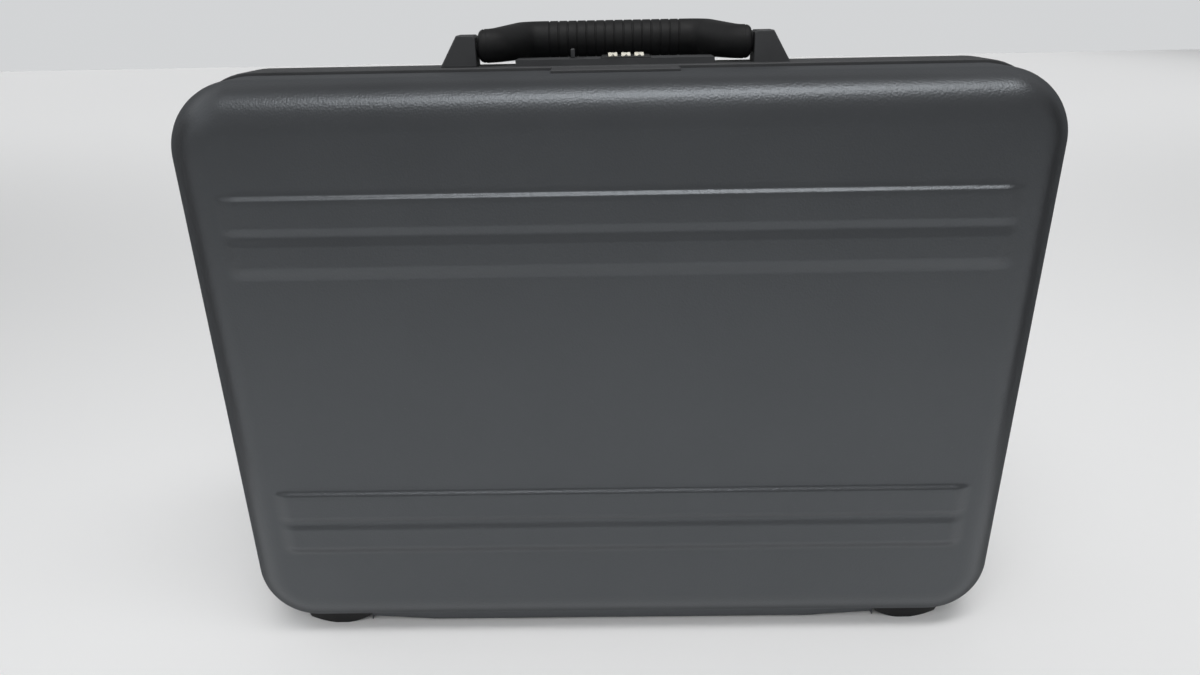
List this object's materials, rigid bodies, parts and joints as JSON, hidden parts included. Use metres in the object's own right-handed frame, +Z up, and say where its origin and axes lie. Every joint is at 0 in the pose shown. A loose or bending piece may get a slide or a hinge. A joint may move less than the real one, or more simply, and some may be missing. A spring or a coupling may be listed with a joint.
{
  "type": "briefcase",
  "caption": "Hard-shell attache case with a hinged lid, folding top handle, number lock with sliding release, lid stays, lining and feet, standing on its hinge side.",
  "frame": {"origin": "on the floor under the middle of the standing case, at the underside of its feet", "axes": "+X along the width, +Y from the lid towards the back, +Z up towards the handle"},
  "size_m": [0.4636, 0.117, 0.3612],
  "materials": {
    "shell": "dark grey, fine pebble grain",
    "frame_plastic": "black-grey, satin",
    "frame_metal": "black, satin",
    "seal_rubber": "matte",
    "foot_rubber": "matte",
    "grip_rubber": "soft, grooved",
    "ferrule_plastic": "satin",
    "dial_plastic": "ivory, black numbers",
    "lining_cloth": "fine woven lining",
    "strap_cloth": "webbing",
    "trim_metal": "satin",
    "steel": "zinc plated"
  },
  "bodies": {
    "base": {"base_foot_left": "foot_rubber", "base_foot_right": "foot_rubber", "base_foot_screws": "steel", "base_frame": "frame_plastic", "base_lining": "lining_cloth", "base_shell": "shell", "dial_axle": "steel", "document_strap": "strap_cloth", "handle_pin_left": "steel", "handle_pin_right": "steel", "handle_post_left": "frame_plastic", "handle_post_right": "frame_plastic", "hinge_base_leaf": "steel", "hinge_base_rivets": "steel", "hinge_pin": "steel", "lock_back_plate": "steel", "lock_bezel": "frame_plastic", "lock_housing": "frame_plastic", "lock_screws": "steel", "lock_spring": "steel", "post_screws": "steel", "stay_base_stud_left": "steel", "stay_base_stud_right": "steel", "strap_anchors": "trim_metal", "strap_buckle": "trim_metal"},
    "lid": {"document_pocket": "lining_cloth", "hinge_lid_leaf": "steel", "hinge_lid_rivets": "steel", "lid_foot_left": "foot_rubber", "lid_foot_right": "foot_rubber", "lid_foot_screws": "steel", "lid_frame": "frame_metal", "lid_lining": "lining_cloth", "lid_seal": "seal_rubber", "lid_shell": "shell", "stay_lid_pivot_left": "steel", "stay_lid_pivot_right": "steel", "strike_plate": "frame_plastic", "striker_left": "steel", "striker_right": "steel"},
    "handle": {"ferrule_left": "ferrule_plastic", "ferrule_right": "ferrule_plastic", "handle_core": "steel", "handle_grip": "grip_rubber"},
    "release": {"release_knob": "frame_plastic", "release_bar": "steel"},
    "stay_left": {"stay_left": "steel"},
    "stay_right": {"stay_right": "steel"},
    "dial_1": {"dial_wheel_1": "dial_plastic"},
    "dial_2": {"dial_wheel_2": "dial_plastic"},
    "dial_3": {"dial_wheel_3": "dial_plastic"}
  },
  "joints": [
    {"name": "lid_hinge", "type": "hinge", "parent": "base", "child": "lid", "pos_m": [0, -0.0104, 0.0042], "axis": [1, 0, 0], "range_deg": [0, 95]},
    {"name": "handle_swing", "type": "hinge", "parent": "base", "child": "handle", "pos_m": [0, 0.0036, 0.3499], "axis": [1, 0, 0], "range_deg": [0, 168]},
    {"name": "release_travel", "type": "slide", "parent": "base", "child": "release", "axis": [1, 0, 0], "range_m": [0, 0.005]},
    {"name": "stay_left_pivot", "type": "hinge", "parent": "lid", "child": "stay_left", "pos_m": [0, -0.01648, 0.03867], "axis": [1, 0, 0], "range_deg": [-48, 0]},
    {"name": "stay_right_pivot", "type": "hinge", "parent": "lid", "child": "stay_right", "pos_m": [0, -0.01648, 0.03867], "axis": [1, 0, 0], "range_deg": [-48, 0]},
    {"name": "dial_1_turn", "type": "hinge", "parent": "base", "child": "dial_1", "pos_m": [-0.0011, 0.0036, 0.3383], "axis": [1, 0, 0], "continuous": true},
    {"name": "dial_2_turn", "type": "hinge", "parent": "base", "child": "dial_2", "pos_m": [0.006, 0.0036, 0.3383], "axis": [1, 0, 0], "continuous": true},
    {"name": "dial_3_turn", "type": "hinge", "parent": "base", "child": "dial_3", "pos_m": [0.0131, 0.0036, 0.3383], "axis": [1, 0, 0], "continuous": true}
  ],
  "couplings": [
    {"joint": "stay_left_pivot", "follows": "lid_hinge", "ratio": -0.5},
    {"joint": "stay_right_pivot", "follows": "lid_hinge", "ratio": -0.5}
  ]
}
